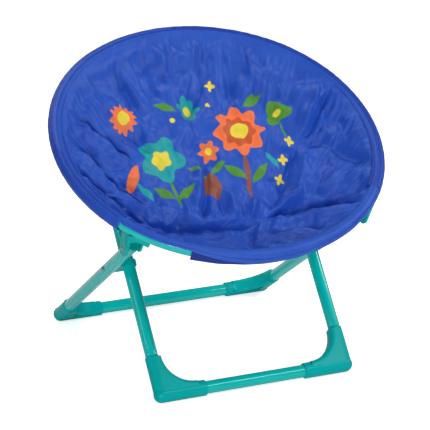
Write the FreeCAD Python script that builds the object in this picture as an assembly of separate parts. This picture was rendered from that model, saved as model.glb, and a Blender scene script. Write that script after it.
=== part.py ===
import FreeCAD, Part
import math
import os

# A folding saucer chair for a child. Millimetres, +X to the sitter's left, +Y to the back, +Z up.
# Two U frames of steel tube cross like scissors. The outer frame stands on the rear foot bar and
# the inner one on the front foot bar. An oval ring carries a padded bowl: it turns on the ends of the
# outer legs, and at the back it hooks on to pins in the ends of the inner legs.
# Frames are laid out with Y = 0 at the front foot bar, and centred on the whole chair at the end.

V = FreeCAD.Vector

# Tubes
TUBE_D = 18.0
TUBE_WALL = 1.2
RING_TUBE_D = 16.0
RING_WALL = 1.2

# Frames: half the distance between the axes of each frame's legs, the lean of the legs from the
# floor, and the distance between the foot bars
INNER_HALF = 141.5
OUTER_HALF = 171.0
INNER_LEAN = 50.4
OUTER_LEAN = 33.3
FOOT_SPREAD = 351.5
OUTER_PIVOT_AT = 382.5
LEG_PAST_PIVOT = 11.0

# Corner elbows
ELBOW_WALL = 2.2
FOOT_FLAT = 0.6
BAR_ARM = 66.0
LEG_ARM = 56.0
LEG_ARM_WALL = 1.4
WEB_SIDE = 0.15
WEB_PLATE = 3.0
WEB_RIM = 3.0
WEB_ROUND = 6.0
ELBOW_LIP = 1.2
TUBE_SETBACK = 14.0
TUBE_CLEAR = 0.15
PLUG_LENGTH = 16.0
PLUG_HEAD = 2.0

# Rivets, pins and screws
RIVET_R = 2.5
RIVET_HEAD_R = 4.2
RIVET_HEAD_H = 2.0
RUNNING_CLEAR = 0.06
HOOK_PIN_R = 3.5
HOOK_PIN_HEAD_R = 6.0
HOOK_PIN_HEAD_H = 1.6
HOOK_CLEAR = 0.4
SCREW_R = 1.6
SCREW_HEAD_R = 3.2
SCREW_HEAD_H = 1.3
SCREW_SINK = 1.0
SCREW_BITE = 3.0
SCREW_FROM_END = 12.0

# Crossing spacers
SPACER_WALL = 2.6
SPACER_BELOW = 3.6
SPACER_ABOVE = 6.0
SPACER_SLIT = 10.0
SIDE_CLEAR = 0.4

# Seat ring: outer size over the fabric, tilt, and how much less the side arcs' radius is than half
# the length of the tube's axis
SEAT_WIDTH = 488.0
SEAT_LENGTH = 456.0
SEAT_TILT = 31.5
SIDE_ARC_LESS = 6.2
RING_SPLIT = 28.0
JOINT_HALF = 30.0
BRACKET_DROP = 41.9
BRACKET_BACK = 10.9

# Brackets
CHEEK_THICK = 3.5
CHEEK_HUB_R = 11.5
INNER_HUB_R = 8.0
CHEEK_TOP = -8.0
CHEEK_TOP_HALF = 13.0
FRONT_WALL_THICK = 3.0
FRONT_WALL_AT = 12.0
FRONT_WALL_FLOOR = -18.5
SADDLE_HALF = 19.0
SADDLE_OUT = 5.0
SADDLE_IN = 9.0
SADDLE_TOP = -5.0
SADDLE_FLOOR = -14.0
BRACKET_SCREW_AT = 5.0
SLOT_MOUTH = 5.0
SLOT_LENGTH = 30.0
SLOT_FOLD = 6.0
RIB_THICK = 1.4
RIB_WIDTH = 4.0

# Fold: how far the frames close, and how far the seat turns with each degree of it
FOLD_LIMIT = 86.0
SEAT_RATIO = 1.47

# Fabric
CLOTH = 1.5
CLOTH_GAP = 0.3
SLEEVE_GAP_FROM = 38.0
SLEEVE_GAP_TO = 61.0
SLEEVE_GAP_TOP = 2.0
HOOK_GAP_FROM = 49.0
HOOK_GAP_TO = 63.0
FLAP_DROP = 16.0
PAD_TOP = 3.0
PAD_RIM_LOW = -6.0
PAD_THICK = 10.0
PAD_LIP = 2.2
BOWL_DEPTH = 68.0
BOWL_POWER = 1.5
BOTTOM_HALF = 70.0
BOTTOM_FRONT = -122.0
BOTTOM_BACK = -84.0
BOTTOM_ARC_SHARE = 0.75
BOWL_SHARES = (0.93, 0.82, 0.66, 0.45, 0.22, 0.0)
BACKING = 1.2

# Values worked out from these
TUBE_R = TUBE_D / 2
RING_R = RING_TUBE_D / 2
ELBOW_R = TUBE_R + ELBOW_WALL
FOOT_Z = ELBOW_R - FOOT_FLAT
SLEEVE_R = RING_R + CLOTH_GAP + CLOTH
RING_A = SEAT_WIDTH / 2 - SLEEVE_R
RING_B = SEAT_LENGTH / 2 - SLEEVE_R
SIDE_ARC_R = RING_B - SIDE_ARC_LESS
CHEEK_NEAR = TUBE_R + SIDE_CLEAR
CHEEK_FAR = CHEEK_NEAR + CHEEK_THICK


def radians(angle):
    return math.radians(angle)


INNER_UP = V(0, math.cos(radians(INNER_LEAN)), math.sin(radians(INNER_LEAN)))
OUTER_UP = V(0, -math.cos(radians(OUTER_LEAN)), math.sin(radians(OUTER_LEAN)))
FRONT_FOOT = V(0, 0, FOOT_Z)
REAR_FOOT = V(0, FOOT_SPREAD, FOOT_Z)


def meet(point_a, way_a, point_b, way_b):
    """Where two lines in the side view meet, as the distance along the first."""
    apart = point_b - point_a
    cross = way_a.y * way_b.z - way_a.z * way_b.y
    return (apart.y * way_b.z - apart.z * way_b.y) / cross


CROSS_ON_INNER = meet(FRONT_FOOT, INNER_UP, REAR_FOOT, OUTER_UP)
CROSS = FRONT_FOOT + INNER_UP * CROSS_ON_INNER
CROSS_ON_OUTER = (CROSS - REAR_FOOT).Length
SEAT_PIVOT = REAR_FOOT + OUTER_UP * OUTER_PIVOT_AT


# Ring outline: an oval of four tangent arcs. The angle phi is that of its outward normal.

def oval(half_width, half_length, side_r):
    """Radius of the end arcs, the centres' offsets and the angle at which the arcs meet."""
    run = half_width - side_r
    end_r = (half_length ** 2 + run ** 2 - side_r ** 2) / (2 * (half_length - side_r))
    meet_at = math.degrees(math.atan2(end_r - half_length, run))
    return {"side_r": side_r, "end_r": end_r, "side_x": run, "end_y": end_r - half_length, "meet": meet_at}


def oval_point(shape, phi, grow=0.0):
    phi = (phi + 180.0) % 360.0 - 180.0
    way = V(math.cos(radians(phi)), math.sin(radians(phi)), 0)
    if abs(phi) <= shape["meet"]:
        return V(shape["side_x"], 0, 0) + way * (shape["side_r"] + grow)
    if abs(phi) >= 180.0 - shape["meet"]:
        return V(-shape["side_x"], 0, 0) + way * (shape["side_r"] + grow)
    end_y = -shape["end_y"] if phi > 0 else shape["end_y"]
    return V(0, end_y, 0) + way * (shape["end_r"] + grow)


def oval_edges(shape, start, end, grow=0.0, centre=V(0, 0, 0)):
    """Arcs along the oval from one normal angle to another, split where its arcs meet."""
    breaks = [start, end]
    for turn in (-360.0, 0.0, 360.0):
        for base in (shape["meet"], 180.0 - shape["meet"], 180.0 + shape["meet"], 360.0 - shape["meet"]):
            if start < base + turn < end:
                breaks.append(base + turn)
    breaks.sort()
    edges = []
    for low, high in zip(breaks[:-1], breaks[1:]):
        points = [oval_point(shape, phi, grow) + centre for phi in (low, (low + high) / 2, high)]
        edges.append(Part.Arc(*points).toShape())
    return edges


RING = oval(RING_A, RING_B, SIDE_ARC_R)


def ring_rod(start, end, radius):
    """A solid round rod along the ring's axis."""
    edges = oval_edges(RING, start, end)
    path = Part.Wire(edges)
    first = edges[0]
    way = first.tangentAt(first.FirstParameter)
    profile = Part.Wire([Part.makeCircle(radius, first.valueAt(first.FirstParameter), way)])
    return path.makePipeShell([profile], True, False)


def phi_at(half, front):
    """Normal angle at which the ring's axis stands a given distance from the middle plane."""
    low, high = 0.0, 90.0
    for _ in range(60):
        middle = (low + high) / 2
        if oval_point(RING, middle).x > half:
            low = middle
        else:
            high = middle
    return -low if front else low


FRONT_PHI = phi_at(OUTER_HALF, True)
REAR_PHI = phi_at(INNER_HALF, False)
FRONT_AT = oval_point(RING, FRONT_PHI)
REAR_AT = oval_point(RING, REAR_PHI)

# Seat frame: its X is the chair's, its Y runs up the ring to the back, its Z stands on the ring.
# The ring's centre follows from the pivot in the outer legs.
SEAT_ALONG = V(0, math.cos(radians(SEAT_TILT)), math.sin(radians(SEAT_TILT)))
SEAT_NORMAL = V(0, -math.sin(radians(SEAT_TILT)), math.cos(radians(SEAT_TILT)))
PIVOT_ALONG = FRONT_AT.y + BRACKET_BACK
SEAT_CENTRE = SEAT_PIVOT - SEAT_ALONG * PIVOT_ALONG + SEAT_NORMAL * BRACKET_DROP
PIVOT_IN_SEAT = V(0, PIVOT_ALONG, -BRACKET_DROP)

# The hook pin stands on the inner leg's axis, square under the ring's tube.
REAR_RING_POINT = SEAT_CENTRE + SEAT_ALONG * REAR_AT.y
HOOK_ON_INNER = meet(FRONT_FOOT, INNER_UP, REAR_RING_POINT, SEAT_NORMAL)
HOOK = FRONT_FOOT + INNER_UP * HOOK_ON_INNER


def to_seat(point):
    """A chair point in the seat's frame."""
    apart = point - SEAT_CENTRE
    return V(apart.x, apart.dot(SEAT_ALONG), apart.dot(SEAT_NORMAL))


HOOK_IN_SEAT = to_seat(HOOK)


def turn(point, centre, angle):
    """Turn a point about an X axis through centre; positive lifts +Y towards +Z."""
    apart = point - centre
    cos_a, sin_a = math.cos(radians(angle)), math.sin(radians(angle))
    return centre + V(apart.x, apart.y * cos_a - apart.z * sin_a, apart.y * sin_a + apart.z * cos_a)


def hook_path(fold):
    """Where the hook pin is in the seat's frame when the frames have closed by fold degrees."""
    moved = turn(HOOK, CROSS, fold)
    return to_seat(turn(moved, SEAT_PIVOT, -fold * SEAT_RATIO))


# Basic shapes

def rod(start, end, radius):
    way = end - start
    return Part.makeCylinder(radius, way.Length, start, way)


def pipe(start, end, radius, wall):
    return rod(start, end, radius).cut(rod(start, end, radius - wall))


def mirrored(shape):
    return shape.mirror(V(0, 0, 0), V(1, 0, 0))


def place_seat(shape):
    moved = shape.copy()
    moved.Placement = FreeCAD.Placement(SEAT_CENTRE, FreeCAD.Rotation(V(1, 0, 0), SEAT_TILT))
    return moved


def dome(centre, way, radius, height):
    """A low rivet head on a flat face: a cap of a sphere."""
    sphere_r = (radius ** 2 + height ** 2) / (2 * height)
    ball = Part.makeSphere(sphere_r, centre - way * (sphere_r - height))
    return ball.common(rod(centre, centre + way * (height * 2), radius * 2))


def rivet(near, far, side_y, side_z, radius, head_r, head_h):
    """A rivet along X from near to far, with a domed head beyond each end."""
    start, end = V(near, side_y, side_z), V(far, side_y, side_z)
    body = rod(start, end, radius)
    body = body.fuse(dome(end, V(1, 0, 0), head_r, head_h))
    return body.fuse(dome(start, V(-1, 0, 0), head_r, head_h)).removeSplitter()


def screw(seat_at, way_in, depth):
    """A pan-head screw: seat_at is the face under its head."""
    head = rod(seat_at - way_in * SCREW_HEAD_H, seat_at, SCREW_HEAD_R)
    return head.fuse(rod(seat_at, seat_at + way_in * depth, SCREW_R)).removeSplitter()


# Corner elbows, in a frame of their own: X inwards along the bar, Y up the leg. The web is level with
# the arms on one side and hollowed out on the other, towards -Z or +Z.

def elbow_local(hollow):
    web_r = LEG_ARM - ELBOW_LIP * 2 - ELBOW_R
    far = ELBOW_R + web_r
    half = ELBOW_R - WEB_SIDE
    round_cut = Part.makeCylinder(web_r, half * 4, V(far, far, -half * 2))
    web = Part.makeBox(far, far, half * 2, V(0, 0, -half)).cut(round_cut)
    rims = [edge for edge in web.Edges if is_arc(edge, web_r) and abs(abs(edge.CenterOfMass.z) - half) < 0.01]
    web = web.makeFillet(WEB_ROUND, rims)
    leg_r = TUBE_R + LEG_ARM_WALL
    arms = [sleeve(V(1, 0, 0), BAR_ARM, ELBOW_R), sleeve(V(0, 1, 0), LEG_ARM, leg_r), Part.makeSphere(ELBOW_R)]
    web = web.common(Part.makeBox(far, far, half * 2, V(ELBOW_R - leg_r, 0, -half)))
    body = web.fuse(arms).removeSplitter()
    inner = ELBOW_R + WEB_RIM * 0.4
    low = WEB_PLATE - half if hollow > 0 else -half * 2
    pocket = Part.makeBox(far - inner, far - inner, half * 3 - WEB_PLATE, V(inner, inner, low))
    pocket = pocket.cut(Part.makeCylinder(web_r + WEB_RIM, half * 8, V(far, far, -half * 4)))
    body = body.cut(pocket)
    bore_r = TUBE_R + TUBE_CLEAR
    body = body.cut(rod(V(TUBE_SETBACK, 0, 0), V(BAR_ARM + 1, 0, 0), bore_r))
    return body.cut(rod(V(0, TUBE_SETBACK, 0), V(0, LEG_ARM + 1, 0), bore_r))


def is_arc(edge, radius):
    return hasattr(edge.Curve, "Radius") and abs(edge.Curve.Radius - radius) < 0.01


def sleeve(way, length, radius):
    """One arm of an elbow, with a bevelled mouth."""
    straight = rod(V(0, 0, 0), way * (length - ELBOW_LIP), radius)
    bevel = Part.makeCone(radius, radius - ELBOW_LIP, ELBOW_LIP, way * (length - ELBOW_LIP), way)
    return straight.fuse(bevel)


def placed(shape, corner, inward, up):
    """Put a shape made in an elbow's frame at a corner of the chair."""
    normal = inward.cross(up)
    moved = shape.copy()
    moved.Placement = FreeCAD.Placement(FreeCAD.Matrix(
        inward.x, up.x, normal.x, corner.x,
        inward.y, up.y, normal.y, corner.y,
        inward.z, up.z, normal.z, corner.z,
        0, 0, 0, 1))
    return moved


def widest_edge(shape, centre):
    """The outer round edge of a flat end."""
    found = [edge for edge in shape.Edges if edge.Closed and (edge.CenterOfMass - centre).Length < 0.01]
    return max(found, key=lambda edge: edge.Length)


def end_plug(top, up, inside):
    """A plastic plug in a tube's open end: a rounded head and a spigot."""
    head = rod(top, top + up * PLUG_HEAD, TUBE_R)
    head = head.makeFillet(PLUG_HEAD * 0.6, [widest_edge(head, top + up * PLUG_HEAD)])
    return head.fuse(rod(top - up * inside, top, TUBE_R - TUBE_WALL - TUBE_CLEAR)).removeSplitter()


def build_frame(leg_name, end_name, foot, up, half, pivots, hollow):
    """One U frame. pivots are the distances up the leg and the radii of its cross holes, the last
    one nearest to the leg's open end. hollow is the side of the elbows' pockets."""
    inward = V(-1, 0, 0)
    corner = foot + V(half, 0, 0)
    leg_end = pivots[-1][0] + LEG_PAST_PIVOT
    leg = pipe(corner + up * TUBE_SETBACK, corner + up * leg_end, TUBE_R, TUBE_WALL)
    bar_half = V(half - TUBE_SETBACK, 0, 0)
    bar = pipe(foot - bar_half, foot + bar_half, TUBE_R, TUBE_WALL)
    elbow = placed(elbow_local(hollow), corner, inward, up)
    reach = V(TUBE_D, 0, 0)
    for place, radius in pivots:
        axis = corner + up * place
        leg = leg.cut(rod(axis - reach, axis + reach, radius))
    screws = []
    for length, way, rear in ((BAR_ARM, inward, V(0, 1, 0)), (LEG_ARM, up, inward.cross(up))):
        axis_point = corner + way * (length - SCREW_FROM_END)
        seat_at = axis_point + rear * (ELBOW_R - SCREW_SINK)
        screws.append(screw(seat_at, -rear, ELBOW_WALL + TUBE_WALL + SCREW_BITE))
        hole = rod(axis_point + rear * (ELBOW_R + 1), axis_point, SCREW_R + TUBE_CLEAR)
        flat = rod(seat_at + rear * (SCREW_HEAD_H + SCREW_SINK), seat_at, SCREW_HEAD_R + SIDE_CLEAR)
        elbow = elbow.cut([hole, flat])
        leg = leg.cut(hole)
        bar = bar.cut([hole, mirrored(hole)])
    deep = 4 * half
    ground = Part.makeBox(deep, deep, deep, V(-deep / 2, foot.y - deep / 2, -deep))
    elbow = elbow.cut(ground)
    plug_room = LEG_PAST_PIVOT - pivots[-1][1] - SIDE_CLEAR
    plug = end_plug(corner + up * leg_end, up, min(PLUG_LENGTH, plug_room))
    return {
        leg_name + "_leg_left": leg,
        leg_name + "_leg_right": mirrored(leg),
        end_name + "_foot_bar": bar,
        end_name + "_corner_left": elbow,
        end_name + "_corner_right": mirrored(elbow),
        leg_name + "_leg_plug_left": plug,
        leg_name + "_leg_plug_right": mirrored(plug),
        end_name + "_corner_screws": Part.makeCompound(screws + [mirrored(item) for item in screws]),
    }


def build_frames():
    rivet_hole = RIVET_R + RUNNING_CLEAR
    outer_pivots = ((CROSS_ON_OUTER, rivet_hole), (OUTER_PIVOT_AT, rivet_hole))
    inner_pivots = ((CROSS_ON_INNER, rivet_hole), (HOOK_ON_INNER, HOOK_PIN_R))
    nodes = build_frame("outer", "rear", REAR_FOOT, OUTER_UP, OUTER_HALF, outer_pivots, -1)
    nodes.update(build_frame("inner", "front", FRONT_FOOT, INNER_UP, INNER_HALF, inner_pivots, 1))
    return nodes


# The crossing: a rivet through both legs, and a spacer that hugs the inner leg

def build_crossing():
    near = INNER_HALF - TUBE_R - SIDE_CLEAR
    far = OUTER_HALF + TUBE_R + SIDE_CLEAR
    pin = rivet(near, far, CROSS.y, CROSS.z, RIVET_R, RIVET_HEAD_R, RIVET_HEAD_H)
    axis = CROSS + V(INNER_HALF, 0, 0)
    low = axis - INNER_UP * SPACER_BELOW
    high = axis + INNER_UP * SPACER_ABOVE
    face = OUTER_HALF - TUBE_R - SIDE_CLEAR
    block_half = TUBE_R + SPACER_WALL
    block = Part.makeBox(face - INNER_HALF, block_half * 2, SPACER_BELOW + SPACER_ABOVE)
    block.translate(V(0, -block_half, 0))
    tilt = FreeCAD.Rotation(V(1, 0, 0), INNER_LEAN - 90.0)
    block.Placement = FreeCAD.Placement(low, tilt).multiply(block.Placement)
    body = rod(low, high, TUBE_R + SPACER_WALL).fuse(block).removeSplitter()
    body = body.cut(rod(low - INNER_UP, high + INNER_UP, TUBE_R + TUBE_CLEAR))
    slit = Part.makeBox(TUBE_R + SPACER_WALL, SPACER_SLIT, SPACER_BELOW + SPACER_ABOVE + 2)
    slit.translate(V(-(TUBE_R + SPACER_WALL), -SPACER_SLIT / 2, -1))
    slit.Placement = FreeCAD.Placement(low, tilt).multiply(slit.Placement)
    body = body.cut(slit)
    body = body.cut(rod(CROSS, CROSS + V(far, 0, 0), RIVET_R + RUNNING_CLEAR))
    return {
        "crossing_rivet_left": pin,
        "crossing_rivet_right": mirrored(pin),
        "crossing_spacer_left": body,
        "crossing_spacer_right": mirrored(body),
    }


# Ring: two bent tubes that meet under the fabric at each side, on a steel plug

def build_ring():
    bore_r = RING_R - RING_WALL
    spans = {"rear": (-RING_SPLIT, 180.0 + RING_SPLIT), "front": (RING_SPLIT - 180.0, -RING_SPLIT)}
    nodes = {}
    for name, (start, end) in spans.items():
        nodes[name + "_ring_tube"] = ring_rod(start, end, RING_R).cut(ring_rod(start, end, bore_r))
    half = math.degrees(JOINT_HALF / SIDE_ARC_R)
    joint = ring_rod(-RING_SPLIT - half, -RING_SPLIT + half, bore_r - TUBE_CLEAR)
    nodes["ring_joint_left"] = joint
    nodes["ring_joint_right"] = mirrored(joint)
    return nodes


# Brackets under the ring, in the seat's frame. Each has two cheeks beside a leg and a saddle for the tube.

def cheek(near, far, front, back, hub, hub_r):
    """A plate from x near to far: a straight top from front to back, tapering to a round hub."""
    points = [V(near, front, CHEEK_TOP), V(near, back, CHEEK_TOP)]
    touch = []
    for corner, side in zip(points, (-1, 1)):
        apart = V(0, corner.y - hub.y, corner.z - hub.z)
        angle = math.atan2(apart.z, apart.y)
        spread = math.acos(hub_r / apart.Length)
        way = angle - side * spread
        touch.append(V(near, hub.y + hub_r * math.cos(way), hub.z + hub_r * math.sin(way)))
    bottom = V(near, hub.y, hub.z - hub_r)
    outline = Part.Wire([
        Part.makeLine(points[0], points[1]),
        Part.makeLine(points[1], touch[1]),
        Part.Arc(touch[1], bottom, touch[0]).toShape(),
        Part.makeLine(touch[0], points[0]),
    ])
    return Part.Face(outline).extrude(V(far - near, 0, 0))


def saddle(at, phi, near, far):
    """A block along the ring's tube, trimmed to the bracket's width."""
    block = Part.makeBox(SADDLE_HALF * 2, SADDLE_OUT + SADDLE_IN, SADDLE_TOP - SADDLE_FLOOR,
                         V(-SADDLE_HALF, -SADDLE_OUT, 0))
    turned = FreeCAD.Rotation(V(0, 0, 1), phi + 90.0)
    block.Placement = FreeCAD.Placement(V(at.x, at.y, SADDLE_FLOOR), turned).multiply(block.Placement)
    corner = V(near, at.y - SADDLE_HALF * 2, SADDLE_FLOOR)
    return block.common(Part.makeBox(far - near, SADDLE_HALF * 4, BRACKET_DROP, corner))


def ring_y(half, front):
    """How far up the seat the ring's axis is at a given distance from the middle plane."""
    return oval_point(RING, phi_at(half, front)).y


def bracket(half, at, phi, hub):
    """A bracket astride a leg whose axis is half from the middle plane."""
    front = phi < 0
    near, far = half - CHEEK_FAR, half + CHEEK_FAR
    body = saddle(at, phi, near, far)
    far_y = ring_y(far - CHEEK_THICK / 2, front)
    body = body.fuse(cheek(far - CHEEK_THICK, far, far_y - CHEEK_TOP_HALF, far_y + CHEEK_TOP_HALF,
                           hub, CHEEK_HUB_R))
    near_y = ring_y(near + CHEEK_THICK / 2, front)
    wall_y = hub.y - FRONT_WALL_AT
    near_front = wall_y if front else near_y - CHEEK_TOP_HALF
    body = body.fuse(cheek(near, near + CHEEK_THICK, near_front, near_y + CHEEK_TOP_HALF,
                           hub, INNER_HUB_R if front else CHEEK_HUB_R))
    if front:
        body = body.fuse(Part.makeBox(far - near, FRONT_WALL_THICK, SADDLE_TOP - FRONT_WALL_FLOOR,
                                      V(near, wall_y, FRONT_WALL_FLOOR)))
    rib_front = ring_y(far, front)
    rib = cheek(far - 0.1, far + RIB_THICK, rib_front - RIB_WIDTH, rib_front + RIB_WIDTH, hub, CHEEK_HUB_R)
    rib = rib.common(Part.makeBox(CHEEK_FAR, 6 * CHEEK_HUB_R, BRACKET_DROP,
                                  V(far - 1, hub.y - 3 * CHEEK_HUB_R, hub.z + CHEEK_HUB_R - 1)))
    body = body.fuse(rib).removeSplitter()
    body = body.cut(ring_rod(phi - 12.0, phi + 12.0, RING_R + TUBE_CLEAR))
    return body.cut(bowl_room())


def bracket_screws(phi):
    """Two screws up through a saddle into the ring's tube, and the holes they need."""
    screws = []
    holes = []
    for side in (-1, 1):
        place = oval_point(RING, phi + side * math.degrees(BRACKET_SCREW_AT / SIDE_ARC_R))
        place.z = SADDLE_FLOOR
        depth = -SADDLE_FLOOR - RING_R + RING_WALL + SCREW_BITE
        screws.append(screw(place, V(0, 0, 1), depth))
        holes.append(rod(place, place + V(0, 0, depth + 1), SCREW_R + TUBE_CLEAR))
        holes.append(rod(place - V(0, 0, SCREW_HEAD_H + SIDE_CLEAR), place, SCREW_HEAD_R + TUBE_CLEAR))
    return screws, holes


def hook_slot():
    """The room that the hook pin leaves by, cut through both cheeks of a rear bracket."""
    pin_room = HOOK_PIN_R + HOOK_CLEAR
    start = HOOK_IN_SEAT
    near, far = INNER_HALF - TUBE_D * 2, INNER_HALF + TUBE_D * 2
    leave = hook_path(SLOT_FOLD) - start
    leave.normalize()
    side = V(0, -leave.z, leave.y)
    mouth = start + leave * SLOT_LENGTH
    corners = [
        start + side * pin_room,
        mouth + side * (pin_room + SLOT_MOUTH),
        mouth - side * (pin_room + SLOT_MOUTH),
        start - side * pin_room,
    ]
    corners = [V(near, corner.y, corner.z) for corner in corners]
    funnel = Part.Face(Part.makePolygon(corners + corners[:1])).extrude(V(far - near, 0, 0))
    return funnel.fuse(rod(V(near, start.y, start.z), V(far, start.y, start.z), pin_room))


def build_brackets(ring_nodes):
    front = bracket(OUTER_HALF, FRONT_AT, FRONT_PHI, PIVOT_IN_SEAT)
    rear = bracket(INNER_HALF, REAR_AT, REAR_PHI, HOOK_IN_SEAT)
    pivot_axis = V(0, PIVOT_IN_SEAT.y, PIVOT_IN_SEAT.z)
    front = front.cut(rod(pivot_axis, pivot_axis + V(OUTER_HALF * 2, 0, 0), RIVET_R + RUNNING_CLEAR))
    rear = rear.cut(hook_slot())
    screws, holes = [], []
    for phi in (FRONT_PHI, REAR_PHI):
        more_screws, more_holes = bracket_screws(phi)
        screws += more_screws
        holes += more_holes
    front = front.cut(holes)
    rear = rear.cut(holes)
    both = holes + [mirrored(hole) for hole in holes]
    for name in ("front_ring_tube", "rear_ring_tube"):
        ring_nodes[name] = ring_nodes[name].cut(both)
    pivot = rivet(OUTER_HALF - CHEEK_FAR, OUTER_HALF + CHEEK_FAR, PIVOT_IN_SEAT.y, PIVOT_IN_SEAT.z,
                  RIVET_R, RIVET_HEAD_R, RIVET_HEAD_H)
    return {
        "front_bracket_left": front,
        "front_bracket_right": mirrored(front),
        "rear_hook_left": rear,
        "rear_hook_right": mirrored(rear),
        "seat_pivot_left": pivot,
        "seat_pivot_right": mirrored(pivot),
        "bracket_screws": Part.makeCompound(screws + [mirrored(item) for item in screws]),
    }


def build_hook_pins():
    near = INNER_HALF - CHEEK_FAR - SIDE_CLEAR
    far = INNER_HALF + CHEEK_FAR + RIB_THICK + SIDE_CLEAR
    axis = V(0, HOOK.y, HOOK.z)
    start, end = axis + V(near, 0, 0), axis + V(far, 0, 0)
    way = V(HOOK_PIN_HEAD_H, 0, 0)
    pin = rod(start - way, start, HOOK_PIN_HEAD_R).fuse([
        rod(start, end, HOOK_PIN_R),
        rod(end, end + way, HOOK_PIN_HEAD_R),
    ]).removeSplitter()
    return {"hook_pin_left": pin, "hook_pin_right": mirrored(pin)}


# Fabric

def ring_shell(start, end):
    return ring_rod(start, end, SLEEVE_R).cut(ring_rod(start, end, RING_R + CLOTH_GAP))


def ring_wedge(start, end, low, high):
    """A block over a stretch of the ring, for cutting fabric away."""
    corners = [oval_point(RING, start) * 0.8, oval_point(RING, start) * 1.2,
               oval_point(RING, end) * 1.2, oval_point(RING, end) * 0.8]
    corners = [V(corner.x, corner.y, low) for corner in corners]
    return Part.Face(Part.makePolygon(corners + corners[:1])).extrude(V(0, 0, high - low))


def build_sleeve():
    deep = -4 * SLEEVE_R
    body = ring_shell(-SLEEVE_GAP_TO, 180.0 + SLEEVE_GAP_TO)
    gaps = [
        ring_wedge(-SLEEVE_GAP_TO - 2, -SLEEVE_GAP_FROM, deep, SLEEVE_GAP_TOP),
        ring_wedge(HOOK_GAP_FROM, HOOK_GAP_TO, deep, 0),
    ]
    return body.cut(gaps + [mirrored(gap) for gap in gaps])


def build_flap():
    """Fabric wrapped over the front of the ring, hanging a little below it."""
    start, end = SLEEVE_GAP_TO - 180.0 + 0.2, -SLEEVE_GAP_TO - 0.2
    outer = oval_edges(RING, start, end, SLEEVE_R)
    inner = oval_edges(RING, start, end, SLEEVE_R - CLOTH)
    ends = [
        Part.makeLine(outer[0].valueAt(outer[0].FirstParameter), inner[0].valueAt(inner[0].FirstParameter)),
        Part.makeLine(outer[-1].valueAt(outer[-1].LastParameter), inner[-1].valueAt(inner[-1].LastParameter)),
    ]
    skirt = Part.Face(Part.Wire(Part.__sortEdges__(outer + inner + ends))).extrude(V(0, 0, -FLAP_DROP))
    skirt = skirt.cut(ring_rod(start, end, SLEEVE_R - CLOTH / 2))
    return ring_shell(start, end).fuse(skirt).removeSplitter()


def bowl_section(share, edge, level):
    """One closed outline of the bowl. share is 1 at the rim and 0 at the trough of the seat."""
    half_width = BOTTOM_HALF + (RING_A - edge - BOTTOM_HALF) * share
    front = BOTTOM_FRONT + (-(RING_B - edge) - BOTTOM_FRONT) * share
    back = BOTTOM_BACK + (RING_B - edge - BOTTOM_BACK) * share
    half_length = (back - front) / 2
    side_share = SIDE_ARC_R / RING_B
    side_r = half_length * (side_share + (BOTTOM_ARC_SHARE - side_share) * (1 - share))
    outline = oval(half_width, half_length, side_r)
    centre = V(0, (front + back) / 2, level)
    return Part.Wire(oval_edges(outline, 0.0, 360.0, 0.0, centre))


def bowl(top, rim_low, edge, depth):
    """A solid bowl, flat on top: straight down to rim_low, then curved to its full depth."""
    rim = bowl_section(1.0, edge, rim_low)
    sections = [rim]
    for share in BOWL_SHARES:
        level = rim_low - (depth + rim_low) * (1 - share ** BOWL_POWER)
        sections.append(bowl_section(share, edge, level))
    wall = Part.Face(rim).extrude(V(0, 0, top - rim_low))
    return Part.makeLoft(sections, True, False).fuse(wall)


def bowl_room():
    """The room that the bowl and its lining take up, with a gap round them."""
    rim_low = PAD_RIM_LOW - BACKING - CLOTH_GAP
    return bowl(PAD_TOP, rim_low, SLEEVE_R - BACKING, BOWL_DEPTH + PAD_THICK + BACKING + CLOTH_GAP * 2)


def build_pad():
    edge = SLEEVE_R + CLOTH_GAP
    outer = bowl(PAD_TOP, PAD_RIM_LOW, edge, BOWL_DEPTH + PAD_THICK)
    room = bowl(PAD_TOP + PAD_THICK, PAD_TOP - 1.0, edge + PAD_LIP, BOWL_DEPTH)
    return outer.cut(room)


def build_backing():
    edge = SLEEVE_R + CLOTH_GAP
    gap = PAD_THICK + CLOTH_GAP
    outer = bowl(PAD_RIM_LOW, PAD_RIM_LOW - BACKING, edge - BACKING, BOWL_DEPTH + gap + BACKING)
    inner = bowl(PAD_RIM_LOW + PAD_THICK, PAD_RIM_LOW - CLOTH_GAP, edge - CLOTH_GAP, BOWL_DEPTH + gap)
    return outer.cut(inner)


def build_seat():
    nodes = build_ring()
    nodes.update(build_brackets(nodes))
    nodes["rim_sleeve"] = build_sleeve()
    nodes["front_flap"] = build_flap()
    nodes["seat_pad"] = build_pad()
    nodes["seat_backing"] = build_backing()
    return {name: place_seat(shape) for name, shape in nodes.items()}


def main():
    nodes = build_frames()
    nodes.update(build_crossing())
    nodes.update(build_hook_pins())
    nodes.update(build_seat())
    whole = FreeCAD.BoundBox()
    for shape in nodes.values():
        whole.add(shape.optimalBoundingBox(False, False))
    shift = V(0, -whole.Center.y, 0)
    os.makedirs("parts", exist_ok=True)
    for name, shape in nodes.items():
        moved = shape.copy()
        moved.translate(shift)
        moved.exportStep("parts/" + name + ".step")
        print(name, len(moved.Solids), moved.isValid(), round(moved.Volume / 1000, 2))
    points = {"crossing": CROSS, "seat pivot": SEAT_PIVOT, "hook": HOOK, "seat centre": SEAT_CENTRE}
    for name, point in points.items():
        print(name, point + shift)
    print("size", whole.XLength, whole.YLength, whole.ZLength, "low", whole.ZMin, "shift", shift.y)


main()
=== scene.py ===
import math

import bmesh
import bpy
import numpy as np
from mathutils import Matrix, Vector, noise


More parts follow.
